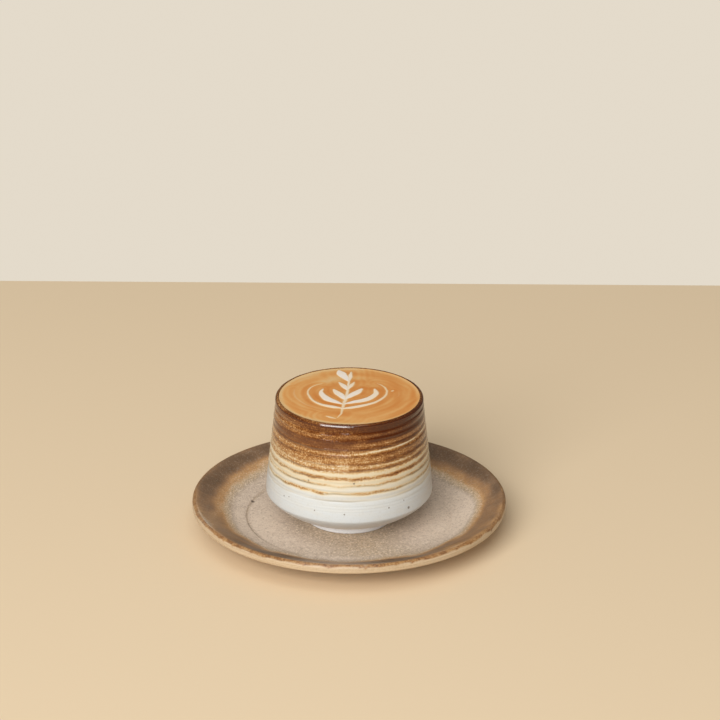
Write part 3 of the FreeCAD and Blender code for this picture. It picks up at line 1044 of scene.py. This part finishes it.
# Milk where each colour starts and where it covers fully, and the colour
MILK_COLOURS = [
    (0.05, 0.50, (0.860, 0.610, 0.330)),
    (0.40, 0.80, (0.945, 0.800, 0.615)),
    (0.80, 1.02, (0.940, 0.865, 0.800)),
]


def foam():
    """Mottled crema with fine bubbles, and the milk over it in three colours."""
    nodes = Nodes("coffee_foam")
    mottle = nodes.noise(2.6, 2.6, detail=4, rough=0.55, warp=0.6)
    fine = nodes.noise(0.35, 0.35, detail=2, rough=0.5)
    tone = nodes.plus(nodes.field("depth"), nodes.times(mottle, 0.22), nodes.times(fine, 0.12))
    colour = nodes.ramp(tone, CREMA_COLOURS)
    colour = nodes.mix(nodes.times(nodes.field("fringe"), 0.55), colour, FRINGE_COLOUR)
    milk = nodes.plus(nodes.field("milk"), nodes.times(mottle, 0.12))
    for start, full, milk_colour in MILK_COLOURS:
        colour = nodes.mix(nodes.range(milk, start, full), colour, milk_colour)
    cells = {"Vector": nodes.scaled(0.45, 0.45), "Scale": 1.0}
    bubbles = nodes.add("ShaderNodeTexVoronoi", cells).outputs["Distance"]
    surface = nodes.plus(bubbles, nodes.times(mottle, 0.8))
    return nodes.finish(Base_Color=colour, Roughness=0.5, Specular_IOR_Level=0.35,
                        Normal=nodes.bump(surface, distance=0.03, strength=0.5))


# ---- Stage: table, wall, light and viewpoint, in millimetres and degrees

TABLE_COLOUR = (0.84, 0.675, 0.465)
TABLE_SIDE = 3000.0  # its reach to each side and to the front
TABLE_BACK = 307.0   # where it ends behind the middle
TABLE_SKEW = 0.0065  # slope of that end, nearer at the right

VIEW_LENS = 150.0
VIEW_SENSOR = 36
VIEW_NEAREST = 0.05  # metres
VIEW_FROM = (4.75, -1256.0, 612.0)
VIEW_DOWN = 22.85
VIEW_ROLL = 0.24

LIGHT_COLOUR = (1.0, 0.985, 0.96)

# Lights: name, place, aim, size, watts
LIGHTS = [
    ("key", (-948, -2473, 1439), (0, 0, 30), (2160, 1560), 86),
    ("top", (-300, -1000, 2250), (0, 60, 0), (2200, 1800), 17),
]

# The surroundings as light, in reflections and to the camera: ray, colour, strength
SURROUNDINGS = [
    (None, (1.0, 0.94, 0.85), 0.26),
    ("Is Glossy Ray", (1.0, 0.94, 0.86), 0.10),
    ("Is Camera Ray", (0.775, 0.705, 0.595), 1.0),
]


def make_camera():
    data = bpy.data.cameras.new("camera")
    data.lens = VIEW_LENS
    data.sensor_width = VIEW_SENSOR
    data.clip_start = VIEW_NEAREST
    camera = linked("camera", data)
    camera.location = Vector(VIEW_FROM) * MM
    camera.rotation_euler = math.radians(90 - VIEW_DOWN), 0, 0
    camera.rotation_euler.rotate_axis("Z", math.radians(VIEW_ROLL))
    bpy.context.scene.camera = camera


def make_light(name, place, aim, size, watts):
    data = bpy.data.lights.new(name, "AREA")
    data.shape = "RECTANGLE"
    data.size, data.size_y = size[0] * MM, size[1] * MM
    data.energy = watts
    data.color = LIGHT_COLOUR
    light = linked(name, data)
    light.location = Vector(place) * MM
    light.rotation_euler = (Vector(aim) * MM - light.location).to_track_quat("-Z", "Y").to_euler()


def make_world():
    """Cream where the camera sees it, and dimmer as light and in reflections."""
    world = bpy.data.worlds.new("world")
    world.use_nodes = True
    tree = world.node_tree
    tree.nodes.clear()
    path = tree.nodes.new("ShaderNodeLightPath")
    shader = None
    for ray, colour, strength in SURROUNDINGS:
        light = tree.nodes.new("ShaderNodeBackground")
        light.inputs["Color"].default_value = *colour, 1
        light.inputs["Strength"].default_value = strength
        if ray:
            mix = tree.nodes.new("ShaderNodeMixShader")
            tree.links.new(path.outputs[ray], mix.inputs[0])
            tree.links.new(shader, mix.inputs[1])
            tree.links.new(light.outputs[0], mix.inputs[2])
            shader = mix.outputs[0]
        else:
            shader = light.outputs[0]
    out = tree.nodes.new("ShaderNodeOutputWorld")
    tree.links.new(shader, out.inputs["Surface"])
    bpy.context.scene.world = world


def make_table():
    """A flat table whose far edge runs a little askew."""
    mesh = bpy.data.meshes.new("table")
    skew = TABLE_SIDE * TABLE_SKEW
    corners = [(-TABLE_SIDE, -TABLE_SIDE, 0), (TABLE_SIDE, -TABLE_SIDE, 0),
               (TABLE_SIDE, TABLE_BACK - skew, 0), (-TABLE_SIDE, TABLE_BACK + skew, 0)]
    mesh.from_pydata([tuple(c * MM for c in corner) for corner in corners], [], [(0, 1, 2, 3)])
    table = linked("table", mesh)
    nodes = Nodes("table")
    wood = nodes.finish(Base_Color=(*TABLE_COLOUR, 1), Roughness=0.9, Specular_IOR_Level=0.2)
    table.data.materials.append(wood)


make_saucer()
make_cup()
make_drink()
make_table()
make_camera()
for light_values in LIGHTS:
    make_light(*light_values)
make_world()
bpy.context.scene.view_settings.view_transform = "Standard"
